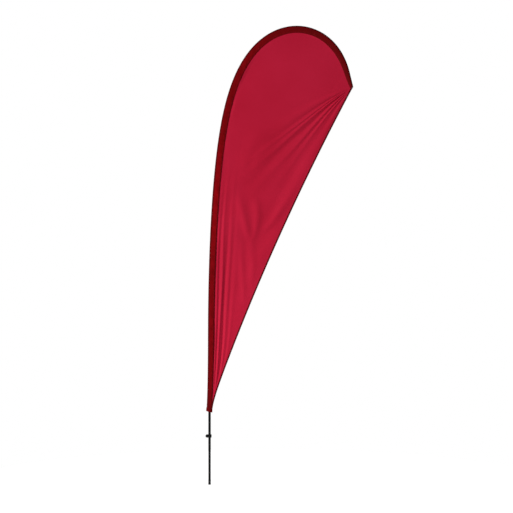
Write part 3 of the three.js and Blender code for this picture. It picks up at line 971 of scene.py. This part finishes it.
def patch_seams():
    """A row of stitches down each edge and across each end, on both faces."""
    edges = (PATCH_SEWN_EDGE, 1 - PATCH_SEWN_EDGE)
    width = np.linspace(*edges, 24)[:, None]
    seams = [(slice(PATCH_FIRST_SEWN, -1), share) for share in edges]
    seams += [(row, width) for row in (PATCH_FIRST_SEWN, PATCH_ROWS - 1)]
    return [patch_line(rows, share, side) for rows, share in seams for side in (-1.0, 1.0)]


patch_stitches = stitches("tip_corner_stitches", patch_seams(), red_thread, pitch=0.0026, thread=0.00025)
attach(patch_stitches, "mast")


# --- Pole and foot ---

def turned(name, profile, material, sides=72):
    """A turned piece about Z from a closed profile of (radius, height)."""
    angle = ring_angles(sides)
    radius, height = np.split(np.array(profile), 2, axis=1)
    rings = stacked(radius * np.cos(angle), radius * np.sin(angle), height)
    return lofted(name, rings, material, "loop")


def rounded(corners, fillet, steps=3):
    """A closed profile with each corner cut by a small round."""
    points = []
    corners = [np.array(c, float) for c in corners]
    for k, corner in enumerate(corners):
        before = corners[k - 1] - corner
        after = corners[(k + 1) % len(corners)] - corner
        reach = min(fillet, 0.45 * np.linalg.norm(before), 0.45 * np.linalg.norm(after))
        start = corner + unit(before) * reach
        end = corner + unit(after) * reach
        for t in np.linspace(0, 1, steps + 1):
            points.append((1 - t) ** 2 * start + 2 * t * (1 - t) * corner + t * t * end)
    return points


def outer_size(node):
    """The radius of a round node about Z, and its bottom and top."""
    low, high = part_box(node)
    return high.x, low.z, high.z


def make_lower_pole():
    """A tube with a web across it, where a base's spindle stops."""
    radius, bottom, top = outer_size("lower_pole")
    bore, drain = 0.00555, 0.0008
    web_bottom, web_top = 0.152, 0.154
    profile = [
        (bore, bottom), (radius, bottom), (radius, top), (bore, top),
        (bore, web_top), (drain, web_top), (drain, web_bottom), (bore, web_bottom),
    ]
    return turned("lower_pole_tube", rounded(profile, 0.0004), anodised)


lower_pole = make_lower_pole()
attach(lower_pole, "pole_foot")
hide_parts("lower_pole")


def make_bush():
    """The bush with its neck. Its stem goes up into the pole."""
    radius, bottom, top = outer_size("foot_bush")
    bore, stem, neck = 0.0044, 0.0052, 0.0071
    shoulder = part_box("lower_pole")[0].z - 0.0003
    profile = [
        (bore, bottom), (radius - 0.0012, bottom), (radius, 0.0014), (radius, 0.0128),
        (neck, 0.0146), (neck, 0.0164), (radius, 0.0182), (radius, shoulder - 0.0006),
        (radius - 0.0006, shoulder), (stem, shoulder), (stem, top), (bore, top),
    ]
    return turned("foot_bush_body", rounded(profile, 0.0007), black_plastic)


bush = make_bush()
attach(bush, "pole_foot")
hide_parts("foot_bush")


# --- Tension gear ---

collar_low, collar_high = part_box("tension_collar")
COLLAR_Z = (collar_low.z + collar_high.z) / 2
COLLAR_HEIGHT = collar_high.z - collar_low.z
COLLAR_RADIUS = 0.012
COLLAR_BORE = 0.00765
EAR_X = -0.01465
EAR_HALF = 0.0096
SLOT_HALF = 0.001
SCREW_X = -0.015
SCREW_HOLE_RADIUS = 0.0023
NUT_RECESS_RADIUS = 0.00434
NUT_SEAT = 0.0062
PEG_RADIUS = 0.0023
PEG_LENGTH = 0.009
PEG_Y = 0.0145
PEG_HEAD_RADIUS = 0.0038
PEG_HEAD_LENGTH = 0.002
PEG_HEAD_Y = 0.019


def solid_bar(name, axis, centre, radius, length, sides=64):
    bpy.ops.mesh.primitive_cylinder_add(vertices=sides, radius=radius, depth=length, location=centre)
    piece = bpy.context.active_object
    piece.name = name
    if axis == "Y":
        piece.rotation_euler = (math.pi / 2, 0, 0)
    return piece


def solid_block(name, low, high):
    bpy.ops.mesh.primitive_cube_add(size=1, location=[(a + b) / 2 for a, b in zip(low, high)])
    piece = bpy.context.active_object
    piece.name = name
    piece.scale = [b - a for a, b in zip(low, high)]
    return piece


def cut_or_join(body, other, operation):
    modifier = body.modifiers.new(operation, "BOOLEAN")
    modifier.object = other
    modifier.operation = operation
    modifier.solver = "EXACT"


def baked_copy(name, source, material, *, voxel, smoothing):
    """A mesh from source with its modifiers, remeshed and softened like a moulding."""
    remesh = source.modifiers.new("remesh", "REMESH")
    remesh.mode = "VOXEL"
    remesh.voxel_size = voxel
    smooth = source.modifiers.new("smooth", "SMOOTH")
    smooth.factor = 0.5
    smooth.iterations = smoothing
    bpy.context.view_layer.update()
    shape = source.evaluated_get(bpy.context.evaluated_depsgraph_get())
    mesh = bpy.data.meshes.new_from_object(shape)
    mesh.transform(source.matrix_world)
    mesh.name = name
    return add_smooth(name, mesh, material)


def make_collar():
    body = solid_bar("collar_core", "Z", (0, 0, COLLAR_Z), COLLAR_RADIUS, COLLAR_HEIGHT, 96)
    joined = [
        solid_block("ear", (EAR_X, -EAR_HALF, collar_low.z), (-0.007, EAR_HALF, collar_high.z)),
        solid_bar("ear_end", "Y", (EAR_X, 0, COLLAR_Z), COLLAR_HEIGHT / 2, 2 * EAR_HALF),
        solid_bar("peg", "Y", (0, PEG_Y, COLLAR_Z), PEG_RADIUS, PEG_LENGTH),
        solid_bar("peg_head", "Y", (0, PEG_HEAD_Y, COLLAR_Z), PEG_HEAD_RADIUS, PEG_HEAD_LENGTH),
    ]
    cut = [
        solid_bar("bore", "Z", (0, 0, COLLAR_Z), COLLAR_BORE, 2 * COLLAR_HEIGHT, 96),
        solid_block("slot", (-0.03, -SLOT_HALF, 0.2), (-0.005, SLOT_HALF, 0.4)),
        solid_bar("screw_hole", "Y", (SCREW_X, 0, COLLAR_Z), SCREW_HOLE_RADIUS, 0.05),
        solid_bar("nut_recess", "Y", (SCREW_X, NUT_SEAT + 0.01, COLLAR_Z), NUT_RECESS_RADIUS, 0.02, 6),
    ]
    for other in joined:
        cut_or_join(body, other, "UNION")
    for other in cut:
        cut_or_join(body, other, "DIFFERENCE")
    piece = baked_copy("tension_collar_body", body, black_plastic, voxel=0.0003, smoothing=5)
    for used in [body, *joined, *cut]:
        bpy.data.objects.remove(used)
    return piece


collar = make_collar()
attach(collar, "collar")
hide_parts("tension_collar")


def cross_rings(radius, y, count):
    """Rings about the screw's axis along Y. radius and y are columns, or radius is a grid."""
    angle = ring_angles(count)
    x = SCREW_X + radius * np.cos(angle)
    z = COLLAR_Z + radius * np.sin(angle)
    return stacked(x, y, z)


def hexagon(half_width, count):
    """The radius of a hexagon at each ring angle, from half its width across the flats."""
    return half_width / np.cos((ring_angles(count) + np.pi / 6) % (np.pi / 3) - np.pi / 6)


def make_knob():
    """A ten-lobed knob, hollow behind, where it holds the screw's head."""
    count = 160
    low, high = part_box("clamp_knob")
    front, back = low.y, high.y
    depth = back - front
    beside_groove = (10 * ring_angles(count) / (2 * np.pi)) % 1 - 0.5
    lobes = 0.0005 - 0.0014 * bell(beside_groove / 0.17)
    profile = [
        (0.0038, back), (0.0060, back), (0.0066, back - 0.0003), (0.0069, back - 0.001),
        (0.0070, back - 0.45 * depth), (0.0069, front + 0.0016), (0.0066, front + 0.0007),
        (0.0060, front + 0.0002), (0.0053, front), (0.0048, front + 0.0002), (0.0045, front + 0.0008),
        (0.0024, front + 0.0009), (0.0020, front + 0.0004), (0.0010, front + 0.0003),
    ]
    radius, y = np.split(np.array(profile), 2, axis=1)
    amount = np.clip((radius - 0.0052) / 0.0015, 0, 1)
    outside = cross_rings(radius + lobes * amount, y, count)
    hollow_y = back - 0.0034
    hollow_radius = np.array([[0.0010], [0.0037], [0.0037]])
    inside = cross_rings(hollow_radius, np.array([[hollow_y], [hollow_y], [back]]), count)
    return lofted("clamp_knob_grip", np.concatenate([outside, inside]), black_plastic, "loop")


knob = make_knob()
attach(knob, "screw")
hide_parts("clamp_knob")


def make_screw():
    """A machine screw with a real thread, from its head in the knob to past the nut."""
    count, pitch = 32, 0.0007
    low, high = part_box("clamp_screw")
    head_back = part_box("clamp_knob")[1].y
    y = np.arange(head_back, high.y - 0.0004, pitch / 8)[:, None]
    phase = (y / pitch + ring_angles(count) / (2 * np.pi)) % 1
    thread = 0.0020 - 0.00034 * np.abs(2 * phase - 1)
    shank = cross_rings(thread, y, count)
    head_y = np.array([[low.y], [low.y + 0.0003], [head_back - 0.0002]])
    head = cross_rings(hexagon(0.0029, count) * np.array([[0.9], [1.0], [1.0]]), head_y, count)
    end = cross_rings(np.array([[0.0013]]), np.array([[high.y]]), count)
    return lofted("clamp_screw_body", np.concatenate([head, shank, end]), zinc, "fan")


screw = make_screw()
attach(screw, "screw")
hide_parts("clamp_screw")


def make_nut():
    """A hexagon nut with chamfered corners and a bore that widens at both ends."""
    count = 72
    low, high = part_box("clamp_nut")
    depth = high.y - low.y
    outer_y = np.array([0.0, 0.12, 0.3, 0.7, 0.88, 1.0])[:, None]
    chamfer = np.array([0.0034, 0.0037, 0.0042, 0.0042, 0.0037, 0.0034])[:, None]
    outside = cross_rings(np.minimum(hexagon(0.0035, count), chamfer), low.y + depth * outer_y, count)
    inner_y = np.linspace(1, 0, 8)[:, None]
    bore = 0.0023 + 0.0003 * (np.abs(inner_y - 0.5) > 0.45)
    inside = cross_rings(bore, low.y + depth * inner_y, count)
    return lofted("clamp_nut_body", np.concatenate([outside, inside]), zinc, "loop")


nut = make_nut()
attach(nut, "collar")
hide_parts("clamp_nut")


# --- Cord and its tab ---

TAB_LOW, TAB_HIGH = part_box("cord_tab")
TAB_SEWN_FROM = 0.425
TAB_BAR_HEIGHT = 0.4085
TAB_RIB_PITCH = 0.0014
CORD_RADIUS = 0.0015
CORD_STEP = 0.0006
CORD_PLAIT = 0.0075


def cord_route():
    """Down from the tab, under the peg and up again: the same line as in the frame."""
    turn = PEG_RADIUS + 0.0003 + CORD_RADIUS
    top_y, foot_y = 0.012, 0.0155
    top_z = TAB_LOW.z + 0.004
    down = np.linspace(0, 1, 90, endpoint=False)[:, None]
    left = np.array([-turn, top_y, top_z]) * (1 - down) + np.array([-turn, foot_y, COLLAR_Z]) * down
    bend = np.linspace(np.pi, 2 * np.pi, 15)
    under = stacked(turn * np.cos(bend), foot_y, COLLAR_Z + turn * np.sin(bend))
    right = left[::-1] * np.array([-1, 1, 1])
    return np.concatenate([left, under, right])


def make_cord():
    """A braided elastic cord, its plaits standing a little out of it."""
    route, tangents = spaced(cord_route(), CORD_STEP)
    angle = ring_angles(24)
    s = np.arange(len(route))[:, None] * CORD_STEP
    turn = 2 * np.pi * s / CORD_PLAIT
    braid = np.maximum(np.sin(4 * angle + turn * 2), np.sin(4 * angle - turn * 2))
    radius = CORD_RADIUS - 0.00008 + 0.0001 * braid
    side = unit(np.cross(np.array([0, 1, 0]), tangents))
    other = np.cross(tangents, side)
    rings = (
        route[:, None, :]
        + (radius * np.cos(angle))[..., None] * side[:, None, :]
        + (radius * np.sin(angle))[..., None] * other[:, None, :]
    )
    return lofted("tension_cord_braid", rings, elastic, "fan")


cord = make_cord()
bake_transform(cord)
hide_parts("tension_cord")


def make_tab():
    """Two layers of webbing, sewn flat to the foot band and spread a little by the cord below it."""
    z = np.linspace(TAB_LOW.z, TAB_HIGH.z, 60)[:, None]
    width = (TAB_HIGH.x - TAB_LOW.x) / 2
    middle = (TAB_HIGH.y + TAB_LOW.y) / 2
    t = np.linspace(0, 1, 13)
    x = np.concatenate([1 - 2 * t, [-0.93], 2 * t - 1, [0.93]])[None, :] * width
    face = np.concatenate([-np.ones(13), [0], np.ones(13), [0]])[None, :]
    edge = 1 - 0.22 * (np.abs(x) / width) ** 8
    ribs = 0.00006 * np.sin(2 * np.pi * z / TAB_RIB_PITCH)
    sewn = smooth_step((z - TAB_SEWN_FROM) / 0.006)
    half = (TAB_HIGH.y - TAB_LOW.y) / 2 - 0.0002 * sewn + ribs
    y = middle + face * half * edge - 0.0007 * sewn * (face < 0)
    return lofted("cord_tab_webbing", stacked(x, y, z), webbing, "fan")


tab = make_tab()
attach(tab, "mast")
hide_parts("cord_tab")


def tab_line(start, end):
    count = max(4, int((Vector(end) - Vector(start)).length / 0.001))
    t = np.linspace(0, 1, count)[:, None]
    return facing(np.array(start) * (1 - t) + np.array(end) * t, 1.0)


def make_tab_stitches():
    """A crossed box where the tab is sewn to the foot band, and a bar that closes it round the cord."""
    x, y = 0.0044, TAB_HIGH.y - 0.0001
    low, high = TAB_SEWN_FROM + 0.005, TAB_HIGH.z - 0.003
    a, b, c, d = (-x, y, low), (x, y, low), (x, y, high), (-x, y, high)
    lines = [tab_line(*pair) for pair in ((a, b), (b, c), (c, d), (d, a), (a, c), (b, d))]
    lines.append(tab_line((-x, y + 0.0001, TAB_BAR_HEIGHT), (x, y + 0.0001, TAB_BAR_HEIGHT)))
    return stitches("cord_tab_stitches", lines, black_thread, pitch=0.0024, thread=0.00022)


tab_stitches = make_tab_stitches()
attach(tab_stitches, "mast")


# --- Inner pieces that stay as they are in the frame ---

for node, material in {
    "mid_pole": fibreglass,
    "tip_pole": fibreglass,
    "stop_ring": anodised,
    "tip_ferrule": zinc,
    "tip_cap": black_plastic,
    "tip_pocket": webbing,
}.items():
    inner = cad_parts[node]
    inner.data.materials.clear()
    inner.data.materials.append(material)


# --- Studio ---

def make_floor():
    bpy.ops.mesh.primitive_circle_add(vertices=96, radius=1.8, fill_type="NGON", location=(0.3, 0, -0.001))
    floor = bpy.context.active_object
    floor.name = "floor"
    material, _, shader = new_material("pale_floor")
    set_inputs(shader, {"Base Color": (0.9, 0.9, 0.9, 1), "Roughness": 0.9})
    set_inputs(shader, {"Emission Color": (1, 1, 1, 1), "Emission Strength": 0.5})
    floor.data.materials.append(material)


def add_light(name, place, target, size, power):
    light = bpy.data.lights.new(name, "AREA")
    light.shape = "RECTANGLE"
    light.size, light.size_y = size
    light.energy = power
    lamp = add_object(name, light)
    lamp.location = place
    lamp.rotation_euler = (Vector(target) - Vector(place)).to_track_quat("-Z", "Y").to_euler()


def make_world():
    """A white surround that lights the flag less than it shows."""
    world = bpy.data.worlds.new("studio")
    bpy.context.scene.world = world
    world.use_nodes = True
    tree = world.node_tree
    background = tree.nodes["Background"]
    set_inputs(background, {"Color": (1, 1, 1, 1)})
    seen = tree.nodes.new("ShaderNodeLightPath")
    level = combine(tree, "MAXIMUM", seen.outputs["Is Camera Ray"], 0.15)
    tree.links.new(level, background.inputs["Strength"])


def make_camera():
    """A long lens, level with the middle of the flag."""
    view_height, distance = 3.0113, 10.0
    centre = (0.2756, 1.3384)
    data = bpy.data.cameras.new("camera")
    data.sensor_width = 36
    data.lens = data.sensor_width * distance / view_height
    camera = add_object("camera", data)
    camera.location = (centre[0], -distance, centre[1])
    camera.rotation_euler = (math.pi / 2, 0, 0)
    bpy.context.scene.camera = camera


make_floor()
make_world()
add_light("key", (-4.7, -2.9, 2.7), (0.4, 0, 1.4), (1.4, 1.4), 406)
add_light("fill", (2.4, -4.4, 1.6), (0.3, 0, 1.3), (2.4, 2.4), 45)
add_light("back", (2.5, 4.0, 3.0), (0.4, 0, 1.4), (2.0, 2.5), 120)
make_camera()
bpy.context.scene.view_settings.view_transform = "Standard"
